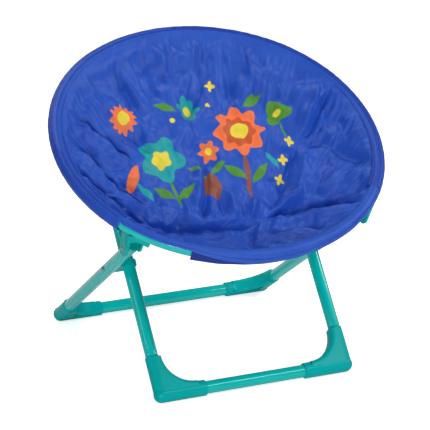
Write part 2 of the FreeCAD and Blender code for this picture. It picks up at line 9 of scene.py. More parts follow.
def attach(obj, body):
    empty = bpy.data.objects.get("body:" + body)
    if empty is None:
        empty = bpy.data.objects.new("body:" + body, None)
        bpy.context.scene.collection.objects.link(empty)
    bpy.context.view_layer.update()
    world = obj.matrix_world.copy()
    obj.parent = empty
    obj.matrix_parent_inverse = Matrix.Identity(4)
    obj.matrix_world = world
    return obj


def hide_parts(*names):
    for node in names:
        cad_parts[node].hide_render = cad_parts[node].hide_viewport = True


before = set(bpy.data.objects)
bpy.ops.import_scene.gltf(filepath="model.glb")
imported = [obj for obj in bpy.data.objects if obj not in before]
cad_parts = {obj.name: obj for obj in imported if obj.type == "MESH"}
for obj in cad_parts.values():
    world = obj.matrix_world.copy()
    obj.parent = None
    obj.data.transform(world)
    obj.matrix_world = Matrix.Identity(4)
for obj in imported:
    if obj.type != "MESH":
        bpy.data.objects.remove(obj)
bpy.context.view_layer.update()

# Studio: a white floor and backdrop, a camera at the eye height of a standing child, and large soft
# lamps. The key and the side lamps are long strips, so that the tubes carry narrow bright lines.
MM = 0.001
EYE = Vector((-0.9700, -2.2843, 1.01195))
LOOK_AT = Vector((-0.0612, -0.14826, 0.26175))
LENS_MM = 150.7
SENSOR_MM = 36.0
LAMPS_FACE = Vector((0, 0, 0.25))
# Each lamp: its place, its width and height in metres, and its watts.
LAMPS = {
    "key": ((1.1, -2.2, 2.3), (1.7, 0.30), 22),
    "front": ((-1.2, -2.6, 0.60), (0.8, 0.5), 33),
    "left": ((-2.3, -0.5, 1.7), (0.30, 1.0), 5),
    "right": ((2.2, -0.6, 1.9), (0.30, 0.9), 23),
    "top": ((-0.3, 0.9, 2.5), (0.8, 0.6), 20),
    "rear": ((-0.8, 2.2, 1.2), (1.8, 1.2), 7),
}
# The room's light on the chair, where the backdrop seen is 1, and the floor's lift towards white.
ROOM_LIGHT = 0.12
FLOOR_LIFT = 0.70
FLOOR_HALF = 6.0
FLOOR_DROP = 0.5 * MM
WHITE = (1, 1, 1, 1)

scene = bpy.context.scene
scene.view_settings.view_transform = "Standard"


def turned_to(place, target):
    """Placement that looks from place to target with the image upright."""
    return Matrix.Translation(place) @ (target - place).to_track_quat("-Z", "Y").to_matrix().to_4x4()


camera = bpy.data.objects.new("camera", bpy.data.cameras.new("camera"))
camera.data.lens = LENS_MM
camera.data.sensor_width = SENSOR_MM
camera.matrix_world = turned_to(EYE, LOOK_AT)
scene.collection.objects.link(camera)
scene.camera = camera

for name, (place, (wide, tall), watts) in LAMPS.items():
    lamp = bpy.data.lights.new(name, "AREA")
    lamp.shape = "RECTANGLE"
    lamp.size, lamp.size_y = wide, tall
    lamp.energy = watts
    lamp_object = bpy.data.objects.new(name, lamp)
    lamp_object.matrix_world = turned_to(Vector(place), LAMPS_FACE)
    scene.collection.objects.link(lamp_object)


def node_after(tree, kind, **values):
    """A new node. A name that starts with _ is a setting of the node, n0 or n1 is an input by its number,
    and any other name is an input by name. An input is linked to an output, or else set to a value."""
    node = tree.nodes.new(kind)
    for key, value in values.items():
        if key.startswith("_"):
            setattr(node, key[1:], value)
            continue
        by_number = key[0] == "n" and key[1:].isdigit()
        socket = node.inputs[int(key[1:])] if by_number else node.inputs[key.replace("_", " ")]
        if isinstance(value, bpy.types.NodeSocket):
            tree.links.new(value, socket)
        else:
            socket.default_value = value
    return node


def camera_level(tree, hidden, seen):
    """A level that is seen where the camera looks straight at the surface, and hidden to other light."""
    paths = tree.nodes.new("ShaderNodeLightPath")
    return node_after(tree, "ShaderNodeMapRange", Value=paths.outputs["Is Camera Ray"],
                      To_Min=hidden, To_Max=seen).outputs[0]


def surface(name):
    """A new material with a Principled shader."""
    material = bpy.data.materials.new(name)
    material.use_nodes = True
    return material, material.node_tree, material.node_tree.nodes["Principled BSDF"]


def set_inputs(node, values):
    """Set a node's inputs by name."""
    for name, value in values.items():
        node.inputs[name].default_value = value


world = bpy.data.worlds.new("studio")
scene.world = world
world.use_nodes = True
background = world.node_tree.nodes["Background"]
background.inputs["Color"].default_value = WHITE
world.node_tree.links.new(camera_level(world.node_tree, ROOM_LIGHT, 1.0), background.inputs["Strength"])

bm = bmesh.new()
bmesh.ops.create_grid(bm, x_segments=1, y_segments=1, size=FLOOR_HALF)
floor_mesh = bpy.data.meshes.new("floor")
bm.to_mesh(floor_mesh)
bm.free()
floor = bpy.data.objects.new("floor", floor_mesh)
floor.location.z = -FLOOR_DROP
scene.collection.objects.link(floor)
floor_paint, tree, shader = surface("floor white")
set_inputs(shader, {"Base Color": (0.93, 0.93, 0.93, 1), "Roughness": 0.9, "Specular IOR Level": 0.1,
                    "Emission Color": WHITE})
tree.links.new(camera_level(tree, 0.0, FLOOR_LIFT), shader.inputs["Emission Strength"])
floor.data.materials.append(floor_paint)


# Steel tubes: straight 18 mm legs and foot bars and the 16 mm ring, powder coated in a glossy teal.
# The coat has a faint orange peel, a slow drift in its colour and a few light scuffs.
def linear(red, green, blue):
    """A colour as it is seen, 0 to 255, as the shader's own values."""
    def channel(value):
        value /= 255
        return value / 12.92 if value <= 0.04045 else ((value + 0.055) / 1.055) ** 2.4
    return (channel(red), channel(green), channel(blue), 1.0)


TEAL = linear(0, 192, 186)
DRIFT_TINT = (0.55, 0.62, 0.66, 1)
# How fine the drift of the colour and the scuffs are, per metre, and how deep the grain is.
DRIFT_SCALE, SCUFF_SCALE = 14.0, 120.0
GRAIN_DEPTH = 0.4 * MM
FLOAT, VECTOR, COLOUR = "NodeSocketFloat", "NodeSocketVector", "NodeSocketColor"


def new_group(name, inputs, outputs):
    """A shader node group with named sockets, and its input and output nodes."""
    group = bpy.data.node_groups.new(name, "ShaderNodeTree")
    for sockets, way in ((inputs, "INPUT"), (outputs, "OUTPUT")):
        for title, kind in sockets.items():
            group.interface.new_socket(title, in_out=way, socket_type=kind)
    return group, group.nodes.new("NodeGroupInput"), group.nodes.new("NodeGroupOutput")


def group_in(tree, group, place, values):
    """A node group placed in a material, with its own values."""
    node = tree.nodes.new("ShaderNodeGroup")
    node.node_tree = group
    tree.links.new(place, node.inputs["Vector"])
    set_inputs(node, values)
    return node


def maths(tree, operation, *inputs):
    """The output of a Math node with these inputs, in their order."""
    numbered = {f"n{number}": value for number, value in enumerate(inputs)}
    return node_after(tree, "ShaderNodeMath", _operation=operation, **numbered).outputs[0]


def mixed(tree, factor, first, second, way="MIX"):
    """The output of a Mix node for colours, whose colour inputs are numbers 6 and 7."""
    return node_after(tree, "ShaderNodeMix", _data_type="RGBA", _blend_type=way, Factor=factor,
                      n6=first, n7=second).outputs[2]


def make_surface_finish():
    """Fine surface of paint or plastic: a colour that drifts a little, scuffs, and a grain height."""
    group, given, out = new_group(
        "surface finish",
        {"Vector": VECTOR, "Colour": COLOUR, "Worn Colour": COLOUR, "Grain Scale": FLOAT, "Drift": FLOAT,
         "Wear": FLOAT, "Gloss": FLOAT, "Dull": FLOAT},
        {"Colour": COLOUR, "Roughness": FLOAT, "Height": FLOAT})
    place = given.outputs["Vector"]
    broad = node_after(group, "ShaderNodeTexNoise", Vector=place, Scale=DRIFT_SCALE, Detail=3.0)
    scuff = node_after(group, "ShaderNodeTexNoise", Vector=place, Scale=SCUFF_SCALE, Detail=6.0,
                       Roughness=0.7, Distortion=1.2)
    grain = node_after(group, "ShaderNodeTexNoise", Vector=place, Scale=given.outputs["Grain Scale"],
                       Detail=2.0)
    shade = node_after(group, "ShaderNodeMapRange", Value=broad.outputs["Fac"], From_Min=0.3, From_Max=0.7,
                       To_Min=1.0, To_Max=0.0)
    share = maths(group, "MULTIPLY", shade.outputs[0], given.outputs["Drift"])
    darker = mixed(group, share, given.outputs["Colour"], DRIFT_TINT, "MULTIPLY")
    mark = node_after(group, "ShaderNodeMapRange", Value=scuff.outputs["Fac"], From_Min=0.60, From_Max=0.72)
    worn = maths(group, "MULTIPLY", mark.outputs[0], given.outputs["Wear"])
    rough = node_after(group, "ShaderNodeMapRange", Value=scuff.outputs["Fac"], From_Min=0.35, From_Max=0.75,
                       To_Min=given.outputs["Gloss"], To_Max=given.outputs["Dull"])
    group.links.new(mixed(group, worn, darker, given.outputs["Worn Colour"]), out.inputs["Colour"])
    group.links.new(rough.outputs[0], out.inputs["Roughness"])
    group.links.new(grain.outputs["Fac"], out.inputs["Height"])
    return group


FINISH = make_surface_finish()


def finished_material(name, colour, worn, grain, bump, drift, wear, gloss, dull, metallic=0.0, coat=0.0,
                      coat_rough=0.06):
    """Paint, plastic, metal or thread made with the surface finish."""
    material, tree, shader = surface(name)
    place = tree.nodes.new("ShaderNodeTexCoord").outputs["Object"]
    finish = group_in(tree, FINISH, place, {
        "Colour": colour, "Worn Colour": worn, "Grain Scale": grain, "Drift": drift, "Wear": wear,
        "Gloss": gloss, "Dull": dull})
    relief = node_after(tree, "ShaderNodeBump", Strength=bump, Distance=GRAIN_DEPTH,
                        Height=finish.outputs["Height"])
    tree.links.new(finish.outputs["Colour"], shader.inputs["Base Color"])
    tree.links.new(finish.outputs["Roughness"], shader.inputs["Roughness"])
    tree.links.new(relief.outputs[0], shader.inputs["Normal"])
    set_inputs(shader, {"Metallic": metallic, "Coat Weight": coat, "Coat Roughness": coat_rough,
                        "Specular IOR Level": 0.05})
    return material


paint = finished_material("teal powder coat", TEAL, linear(60, 180, 172), grain=420.0, bump=0.02,
                          drift=0.20, wear=0.02, gloss=0.20, dull=0.30, coat=0.8)
TUBES = ("outer_leg_left", "outer_leg_right", "inner_leg_left", "inner_leg_right", "rear_foot_bar",
         "front_foot_bar", "front_ring_tube", "rear_ring_tube")


def finish_node(name, material):
    """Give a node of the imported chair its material."""
    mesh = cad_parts[name].data
    mesh.materials.clear()
    mesh.materials.append(material)


for name in TUBES:
    finish_node(name, paint)


# Corner elbows, brackets, hooks and spacers: moulded nylon in a like teal, a little duller than the
# paint, with the fine grain of the mould. The plugs in the tube ends are a darker teal.
elbow_plastic = finished_material("teal nylon", linear(0, 176, 174), linear(20, 170, 164), grain=1500.0,
                                  bump=0.08, drift=0.25, wear=0.06, gloss=0.30, dull=0.44, coat=0.10,
                                  coat_rough=0.15)
plug_plastic = finished_material("teal plug", linear(0, 156, 154), linear(60, 170, 164), grain=1500.0,
                                 bump=0.15, drift=0.2, wear=0.2, gloss=0.40, dull=0.60)
SIDES = ("left", "right")
for side in SIDES:
    for piece in ("front_corner", "rear_corner", "front_bracket", "rear_hook", "crossing_spacer"):
        finish_node(piece + "_" + side, elbow_plastic)
    for piece in ("outer_leg_plug", "inner_leg_plug"):
        finish_node(piece + "_" + side, plug_plastic)


# Rivets, pins and screws: zinc plated steel, satin, with fine handling marks. The rivets hold the legs
# together where they cross, and the screws hold the tubes in the elbows and the ring in its brackets.
steel = finished_material("zinc plated steel", linear(176, 178, 180), linear(120, 120, 118), grain=700.0,
                          bump=0.15, drift=0.3, wear=0.5, gloss=0.25, dull=0.50, metallic=1.0)
for side in SIDES:
    for piece in ("crossing_rivet", "hook_pin", "seat_pivot", "ring_joint"):
        finish_node(piece + "_" + side, steel)
for name in ("rear_corner_screws", "front_corner_screws", "bracket_screws"):
    finish_node(name, steel)


# Padded bowl: printed polyester over a sheet of wadding and a plain lining, sewn to the ring's sleeve
# all round. It is cut flat, so it gathers over the crease where the seat meets the front lip.
RING_TILT = math.radians(31.5)
RING_CENTRE = Vector((0, -18.8918, 329.5316)) * MM
RING_A, RING_B = 234.2, 218.2
RING_SIDE_R = 212.0
RING_MEAN_R = 225
SIDE_X = RING_A - RING_SIDE_R
END_R = (RING_B ** 2 + SIDE_X ** 2 - RING_SIDE_R ** 2) / (2 * (RING_B - RING_SIDE_R))
END_Y = END_R - RING_B
ARCS_MEET = math.atan2(END_Y, SIDE_X)
ON_RING = Matrix.Translation(RING_CENTRE) @ Matrix.Rotation(RING_TILT, 4, "X")


def rim(phi, grow=0.0):
    """A point of the ring's axis, in millimetres in the ring's plane, by the angle of its outward normal."""
    phi = (phi + math.pi) % (2 * math.pi) - math.pi
    out_x, out_y = math.cos(phi), math.sin(phi)
    if abs(phi) <= ARCS_MEET:
        return SIDE_X + (RING_SIDE_R + grow) * out_x, (RING_SIDE_R + grow) * out_y
    if abs(phi) >= math.pi - ARCS_MEET:
        return -SIDE_X + (RING_SIDE_R + grow) * out_x, (RING_SIDE_R + grow) * out_y
    centre_y = -END_Y if phi > 0 else END_Y
    return (END_R + grow) * out_x, centre_y + (END_R + grow) * out_y


# The bowl's own sizes are in millimetres. Its low trough lies in front of the ring's middle.
BOWL_DEPTH = 68.0
BOWL_RIM_LEVEL = 9.7
BOWL_POWER = 1.5
TROUGH_HALF = 70.0
TROUGH_MIDDLE, TROUGH_REACH = -103.0, 19.0
SLOPE_RUN = 110
PAD_EDGE = 3.5
FLAT_SHARE = 0.24
PAD_CELLS = 160
PAD_THICK, PINCHED = 10.0, 2.0
UNDER_SHARE = 0.35
THINS_FROM = 0.90
RIM_THICK = 1.2
WRAP_ROWS, HEM_ROW = 9, 6
DISC_PART = 1 - WRAP_ROWS / (PAD_CELLS / 2)
WRAP_START = math.radians(110)
WRAP_R = 10.3
WRAP_CLOTH = 20

# Folds that the cloth keeps: points in the ring's plane, height and half-width in millimetres.
FOLDS = (
    (((-150, -155), (-116, -105), (-78, -94), (-49, -96), (-5, -102), (37, -105), (49, -100)), -5.0, 6),
    (((49, -100), (72, -90), (94, -86), (119, -95), (139, -112), (170, -146)), -5.0, 6),
    (((40, -104), (27, -116), (10, -150), (-14, -205)), -3.5, 4),
    (((-14, -108), (-24, -150), (-30, -190)), 2.0, 9),
    (((49, -100), (85, -137), (121, -147), (158, -155)), 4.0, 14),
    (((-7, 14), (-13, -22), (-22, -55), (-40, -93)), -4.5, 5),
    (((-18, 10), (-26, -30), (-44, -70)), 3.0, 7),
    (((40, 152), (20, 122), (0, 96), (-14, 70)), -3.5, 6),
    (((14, 158), (2, 130), (-12, 108)), 2.5, 8),
    (((141, 13), (161, 25), (196, 66), (213, 78)), -3.5, 6),
    (((141, 13), (116, -21), (98, -51), (62, -88)), -4.0, 6),
    (((141, 13), (175, 0), (196, -38), (212, -84)), -4.0, 6),
    (((141, 13), (120, 50), (104, 92), (96, 130)), -2.5, 8),
    (((150, -4), (126, -46), (108, -72), (84, -84)), 3.0, 7),
    (((150, 26), (178, 60), (196, 96)), 3.0, 9),
    (((-206, 88), (-176, 74), (-144, 46), (-116, 8)), -4.5, 7),
    (((-196, 66), (-168, 50), (-140, 22), (-122, -2)), 3.5, 8),
    (((-226, 48), (-183, 22), (-159, -26), (-113, -58)), -4.0, 7),
    (((-222, 20), (-184, -6), (-160, -52), (-120, -82)), 3.0, 8),
    (((-226, -10), (-192, -40), (-165, -80), (-124, -100)), -3.5, 6),
    (((-164, -28), (-142, -22), (-120, -30)), -3.0, 4),
    (((-140, -86), (-110, -92), (-86, -93), (-66, -70), (-55, -51)), -3.5, 4),
    (((-100, -92), (-92, -60), (-96, -30)), -3.0, 5),
    (((-128, 74), (-100, 60), (-80, 30)), -3.0, 6),
    (((-150, 110), (-128, 74), (-118, 40)), -2.5, 6),
    (((-104, 176), (-98, 140), (-86, 96)), -3.0, 7),
    (((-60, 196), (-56, 150), (-50, 110)), -2.5, 8),
    (((64, 190), (70, 150), (66, 110), (58, 60)), -2.5, 8),
    (((104, 170), (100, 130), (92, 90)), 2.5, 9),
    (((-24, -88), (-20, -60), (-18, -40)), 2.2, 4),
    (((-8, -92), (-4, -64), (-2, -40)), -2.4, 3),
    (((8, -94), (12, -60), (14, -36)), 2.4, 4),
    (((20, -95), (26, -70), (34, -48)), -2.8, 3),
    (((32, -97), (42, -74), (54, -54)), 2.4, 4),
    (((-60, -88), (-56, -66), (-58, -40)), 2.0, 5),
    (((-200, -100), (-176, -110), (-150, -118)), -2.2, 5),
    (((-186, -124), (-160, -128), (-136, -128)), 2.0, 5),
    (((196, -108), (170, -112), (140, -120)), -2.2, 6),
    (((110, -196), (96, -170), (84, -146)), -2.2, 7),
    (((-96, -196), (-88, -170), (-84, -140)), -2.0, 7),
)
DART = (((-26, -213), (-16, -194), (-4, -175), (8, -157)), -3.2, 3.5)
PINCHES = ((-127, 74), (-7, 96), (142, 12), (-165, -30), (55, -62), (-55, -51))
PINCH_DEPTH, PINCH_R = 6.0, 12.0
FOLD_GAIN = 4.2
FOLD_ENDS = 0.2
# A crease is a pleat that leans over: steep on one side and gentle on the other.
STEEP_SIDE, GENTLE_SIDE = 0.45, 1.35
DEEPEST = 18.0
# Soft bulges of the wadding between the folds: height and cell in millimetres, and a seed.
BULGES = ((7.0, 50, 3.0), (4.0, 24, 7.0))
ROLL_HEIGHT, ROLL_CELL, ROLL_SEED = 3.5, 52, 8.0
# How far inside the rim the relief and the gathers of the seam reach their full height.
EDGE_FLAT, RELIEF_FULL, GATHER_FULL = 4.0, 16.0, 12.0
GATHER_HEIGHT, GATHER_REACH = 5.0, 48


def smooth(value):
    """From zero at 0 to one at 1 with even ends, for a number or an array."""
    value = np.clip(value, 0, 1)
    return value * value * (3 - 2 * value)


def blend(value, start, end):
    """How far a value is on its way from start to end, with even ends."""
    return float(smooth(np.array((value - start) / (end - start))))


def fold_height(x, y):
    """Height of the folds, gathers and pinches over the bowl, in millimetres."""
    height = np.zeros_like(x)
    for points, rise, width in FOLDS + (DART,):
        runs = [math.dist(a, b) for a, b in zip(points[:-1], points[1:])]
        whole = sum(runs)
        done = 0.0
        nearest = np.full_like(x, 1e6)
        along = np.zeros_like(x)
        steep = np.zeros_like(x, dtype=bool)
        for (ax, ay), (bx, by), run in zip(points[:-1], points[1:], runs):
            share = np.clip(((x - ax) * (bx - ax) + (y - ay) * (by - ay)) / run ** 2, 0, 1)
            apart = np.hypot(x - ax - share * (bx - ax), y - ay - share * (by - ay))
            closer = apart < nearest
            nearest = np.where(closer, apart, nearest)
            along = np.where(closer, (done + share * run) / whole, along)
            steep = np.where(closer, (bx - ax) * (y - ay) > (by - ay) * (x - ax), steep)
            done += run
        fade = smooth(along / FOLD_ENDS) * smooth((1 - along) / FOLD_ENDS)
        spread = width * (0.75 + 0.5 * np.sin(math.pi * along))
        sharpness = 1.0 if rise < 0 else 1.5
        if rise < 0:
            spread = spread * np.where(steep, STEEP_SIDE, GENTLE_SIDE)
        height += FOLD_GAIN * rise * fade * np.exp(-(nearest / spread) ** sharpness)
    for px, py in PINCHES:
        height -= PINCH_DEPTH * np.exp(-(np.hypot(x - px, y - py) / PINCH_R) ** 1.3)
    return np.where(height < 0, DEEPEST * np.tanh(height / DEEPEST), height)


def crumple(x, y, cell, seed):
    """Creased noise: soft bulges between sharp valleys, from -0.5 to 1.5."""
    warp = 0.35 * noise.noise(Vector((x / cell / 2, y / cell / 2, seed + 20)))
    return 2.0 * abs(noise.noise(Vector((x / cell + warp, y / cell - warp, seed)))) - 0.5


def rim_pucker(phi, from_rim):
    """Gathers that run in from the seam, in millimetres. They are highest at the left."""
    along = phi * RING_MEAN_R
    crowd = 0.55 + 0.45 * math.cos(phi - math.radians(195))
    wave = (2.0 * abs(noise.noise(Vector((along / 15, from_rim / 90, 4.0)))) - 0.5) * (0.8 + 1.6 * crowd)
    wave += 1.2 * noise.noise(Vector((along / 24, from_rim / 120, 9.0)))
    wave += 0.6 * noise.noise(Vector((along / 6, from_rim / 60, 2.0)))
    return GATHER_HEIGHT * wave * math.exp(-from_rim / GATHER_REACH) * blend(from_rim, EDGE_FLAT, GATHER_FULL)


def new_piece(name, bm, material, body, slot, *replaced):
    """Turn a bmesh in metres into a finished piece that rides on a body."""
    mesh = bpy.data.meshes.new(name)
    bm.to_mesh(mesh)
    bm.free()
    mesh.materials.append(material)
    for polygon in mesh.polygons:
        polygon.use_smooth = True
    piece = bpy.data.objects.new(name, mesh)
    scene.collection.objects.link(piece)
    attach(piece, body)
    if replaced:
        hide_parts(*replaced)
    return piece


def pad_place(p, q):
    """Where a point of the unit disc lies on the bowl: x, y in the ring's plane and the share of the rise."""
    radius = math.hypot(p, q)
    phi = math.atan2(q, p)
    rim_x, rim_y = rim(phi, -PAD_EDGE)
    low_x = TROUGH_HALF * math.cos(phi)
    low_y = TROUGH_MIDDLE + TROUGH_REACH * math.sin(phi)
    if radius < FLAT_SHARE:
        part = radius / FLAT_SHARE
        return low_x * part, TROUGH_MIDDLE + (low_y - TROUGH_MIDDLE) * part, 0.0
    share = (radius - FLAT_SHARE) / (1 - FLAT_SHARE)
    return low_x + (rim_x - low_x) * share, low_y + (rim_y - low_y) * share, share


def seam_angle(phi):
    """Where round the tube the sleeve's folded edge lies: 0 points outwards, 90 degrees up."""
    return math.radians(96 + 4 * math.cos(phi) + 4 * max(0.0, math.sin(phi)))


# Angles at the front of the ring. GAP_FROM is how far past each side the sleeve ends, and the others
# are normal angles. The drops of the flap's hem below the tube's middle are in millimetres.
GAP_FROM = math.radians(38)
GAP_BLEND_FROM, GAP_BLEND_TO = GAP_FROM - math.radians(2), GAP_FROM + math.radians(1)
FLAP_FROM, FLAP_TO = math.radians(-115.6), math.radians(-61.2)
DART_PHI = math.radians(-96)
DART_HALF = math.radians(0.9)
LEFT_DROP, DART_DROP, RIGHT_DROP = 8.5, 7.0, 2.5
LEFT_DROP_PHI, RIGHT_DROP_PHI = math.radians(-119), math.radians(-61)
WRAP_ENDS_FROM, WRAP_ENDS_TO = math.radians(-57), math.radians(-61)
BARE_EDGE_LEFT, BARE_EDGE_RIGHT = math.radians(42), math.radians(8)
TUCKED = math.radians(12)
HEM_GROOVE, DART_NOTCH = 1.2, 1.4
HEM_GROOVE_HALF = 0.1
ABOVE_HEM = 1.6
# The bare edge starts closer to the tube than the rest, and no part of it goes deeper than this.
BARE_START, DEEPEST_EDGE = 0.3, 0.9


def hem_drop(phi):
    """How far the flap hangs below the tube's middle, from its left end past the dart to its right end."""
    left = blend(phi, DART_PHI, LEFT_DROP_PHI)
    right = blend(phi, DART_PHI, RIGHT_DROP_PHI)
    return DART_DROP + (LEFT_DROP - DART_DROP) * left + (RIGHT_DROP - DART_DROP) * right


def past_side(phi):
    """How far a place on the rim is past the ring's side towards the front. The whole rear left quarter
    counts as past it too, so the bowl's edge and its stitches run on low under the sleeve there."""
    return -phi if abs(phi) < math.pi / 2 else math.pi + phi


def bareness(phi):
    """Zero where the bowl's edge ends high under the sleeve, and one where it runs on low."""
    return blend(past_side(phi), GAP_BLEND_FROM, GAP_BLEND_TO)


def wrap_length(phi):
    """How far the bowl's edge runs on round the tube, in millimetres along the cloth. It ends under the
    sleeve, low on the bare tube beside the brackets, and just above the hem from the dart on."""
    phi = (phi + math.pi) % (2 * math.pi) - math.pi
    under_sleeve = WRAP_R * (WRAP_START - seam_angle(phi) + TUCKED)
    bare = WRAP_R * (WRAP_START - (BARE_EDGE_LEFT if phi < DART_PHI else BARE_EDGE_RIGHT))
    dart = WRAP_R * WRAP_START + hem_drop(phi) - ABOVE_HEM
    near_dart = min(1.0, max(0.0, (phi - FLAP_FROM) / (DART_PHI - FLAP_FROM)))
    near_dart *= blend(phi, WRAP_ENDS_FROM, WRAP_ENDS_TO)
    return under_sleeve + (bare - under_sleeve) * bareness(phi) + (dart - bare) * near_dart


def wrapped(phi, run, radius):
    """A point of the cloth round the tube: over its top, then straight down outside it."""
    bend = WRAP_R * WRAP_START
    if run < bend:
        angle = WRAP_START - run / WRAP_R
        out, up = radius * math.cos(angle), radius * math.sin(angle)
    else:
        out, up = radius, bend - run
    x, y = rim(phi, out)
    return x, y, up


def cloth_radius(phi, part):
    """How far from the tube's axis the bowl's edge lies. Where it is bare it starts closer to the tube,
    and has the groove of its topstitched hem. The dart has a notch."""
    bare = bareness(phi)
    groove = HEM_GROOVE * bare * math.exp(-((part - HEM_ROW / WRAP_ROWS) / HEM_GROOVE_HALF) ** 2)
    notch = DART_NOTCH * part * math.exp(-((phi - DART_PHI) / DART_HALF) ** 2)
    return max(WRAP_R - DEEPEST_EDGE, WRAP_R + bare * (part - BARE_START) - groove - notch)


bm = bmesh.new()
bmesh.ops.create_grid(bm, x_segments=PAD_CELLS, y_segments=PAD_CELLS, size=1)
uv_layer = bm.loops.layers.uv.new("cloth")
# The square grid goes on to a disc, each ring of cells on to an even ring.
disc = []
for vertex in bm.verts:
    grid_x, grid_y = vertex.co.x, vertex.co.y
    p, q = grid_x * math.sqrt(1 - grid_y * grid_y / 2), grid_y * math.sqrt(1 - grid_x * grid_x / 2)
    even = max(abs(grid_x), abs(grid_y)) / max(math.hypot(p, q), 1e-9)
    disc.append((p * even, q * even))
# The last rows of cells wrap over the ring's tube, so the bowl ends a little inside the disc.
places = [pad_place(p / DISC_PART, q / DISC_PART) for p, q in disc]
fold_field = fold_height(np.array([place[0] for place in places]), np.array([place[1] for place in places]))
# For each vertex: its place on the flat cloth, its shares of the rise to the rim and of the wrap round
# the tube, the height of the folds there, and the bowl's level without them.
flat, rise, outer, folds, plain = {}, {}, {}, {}, {}
for index, vertex in enumerate(bm.verts):
    p, q = disc[index]
    phi = math.atan2(q, p)
    reach = math.hypot(p, q) / DISC_PART
    if reach <= 1:
        x, y, share = places[index]
        from_rim = (1 - share) * SLOPE_RUN
        level = BOWL_RIM_LEVEL - (BOWL_DEPTH + BOWL_RIM_LEVEL) * (1 - share ** BOWL_POWER)
        relief = fold_field[index]
        for height, cell, seed in BULGES:
            relief += height * crumple(x, y, cell, seed)
        relief += ROLL_HEIGHT * noise.noise(Vector((x / ROLL_CELL, y / ROLL_CELL, ROLL_SEED)))
        settle = blend(from_rim, EDGE_FLAT, RELIEF_FULL)
        vertex.co = Vector((x, y, level + relief * settle + rim_pucker(phi, from_rim))) * MM
        flat[index], rise[index], outer[index], folds[index] = (x, y), share, 0.0, fold_field[index]
        plain[index] = level
    else:
        part = (reach - 1) / (1 / DISC_PART - 1)
        vertex.co = Vector(wrapped(phi, wrap_length(phi) * part, cloth_radius(phi, part))) * MM
        flat[index] = rim(phi, -PAD_EDGE + part * WRAP_CLOTH)
        rise[index], outer[index], folds[index] = 1.0, part, 0.0
for face in bm.faces:
    for loop in face.loops:
        x, y = flat[loop.vert.index]
        loop[uv_layer].uv = (x * MM, y * MM)
bmesh.ops.recalc_face_normals(bm, faces=bm.faces)
if sum(face.normal.z for face in bm.faces) < 0:
    bmesh.ops.reverse_faces(bm, faces=bm.faces)
# The underside is a copy of the top, lowered by the wadding and joined to it at the edge.
upper = list(bm.verts)
grown = bmesh.ops.duplicate(bm, geom=bm.verts[:] + bm.edges[:] + bm.faces[:])
lower_faces = [item for item in grown["geom"] if isinstance(item, bmesh.types.BMFace)]
for index, vertex in enumerate(upper):
    twin = grown["vert_map"][vertex]
    if outer[index] > 0:
        p, q = disc[index]
        phi = math.atan2(q, p)
        run = wrap_length(phi) * outer[index]
        twin.co = Vector(wrapped(phi, run, cloth_radius(phi, 0.0) - RIM_THICK * 0.7)) * MM
    else:
        top = vertex.co.z / MM
        smoothed = plain[index] + UNDER_SHARE * (top - plain[index]) - PAD_THICK
        inward = blend(rise[index], 1.0, THINS_FROM)
        twin.co.z = (top - RIM_THICK) * MM + (min(smoothed, top - PINCHED) - top + RIM_THICK) * inward * MM
bmesh.ops.reverse_faces(bm, faces=lower_faces)
bmesh.ops.bridge_loops(bm, edges=[edge for edge in bm.edges if edge.is_boundary])
bm.normal_update()

BLUE = linear(38, 90, 196)
BLUE_DARK = linear(30, 76, 182)
WEAVE_DEPTH = 0.25 * MM
EDGE_SOFT = 0.5 * MM


def make_weave():
    """Plain weave: crossing threads as a height, and a slow drift of the dye as a factor."""
    group, given, out = new_group("plain weave", {"Vector": VECTOR, "Thread": FLOAT},
                                  {"Height": FLOAT, "Dye": FLOAT})
    place = given.outputs["Vector"]
    scale = maths(group, "DIVIDE", math.pi, given.outputs["Thread"])
    spread = node_after(group, "ShaderNodeVectorMath", _operation="SCALE", n0=place, Scale=scale)
    split = node_after(group, "ShaderNodeSeparateXYZ", n0=spread.outputs[0])
    across = maths(group, "SINE", split.outputs["X"])
    down = maths(group, "SINE", split.outputs["Y"])
    slub = node_after(group, "ShaderNodeTexNoise", Vector=place, Scale=900.0, Detail=2.0)
    height = maths(group, "ADD", maths(group, "MULTIPLY", across, down), slub.outputs["Fac"])
    dye = node_after(group, "ShaderNodeTexNoise", Vector=place, Scale=22.0, Detail=4.0, Roughness=0.6)
    group.links.new(height, out.inputs["Height"])
    group.links.new(dye.outputs["Fac"], out.inputs["Dye"])
    return group


WEAVE = make_weave()


def cloth_material(name, light, dark, rough=0.44, print_on=None):
    """Woven polyester on the piece's own UV map, dyed between two colours, with or without a print."""
    material, tree, shader = surface(name)
    place = tree.nodes.new("ShaderNodeTexCoord").outputs["UV"]
    weave = group_in(tree, WEAVE, place, {"Thread": 0.7 * MM})
    dye = node_after(tree, "ShaderNodeMapRange", Value=weave.outputs["Dye"], From_Min=0.3, From_Max=0.7)
    shown = mixed(tree, dye.outputs[0], dark, light)
    if print_on:
        shown = print_on(tree, place, shown)
    tree.links.new(shown, shader.inputs["Base Color"])
    relief = node_after(tree, "ShaderNodeBump", Strength=0.25, Distance=WEAVE_DEPTH,
                        Height=weave.outputs["Height"])
    tree.links.new(relief.outputs[0], shader.inputs["Normal"])
    set_inputs(shader, {"Roughness": rough, "Specular IOR Level": 0.3, "Sheen Weight": 0.03,
                        "Sheen Roughness": 0.4})
    return material


def edge_mask(group, distance):
    """One inside a shape and zero outside it, from a distance in metres that is negative inside."""
    return node_after(group, "ShaderNodeMapRange", Value=distance, From_Min=EDGE_SOFT,
                      From_Max=-EDGE_SOFT).outputs[0]


def from_centre(group, given):
    """The way from a motif's centre to the place on the cloth."""
    return node_after(group, "ShaderNodeVectorMath", _operation="SUBTRACT", n0=given.outputs["Vector"],
                      n1=given.outputs["Centre"]).outputs[0]


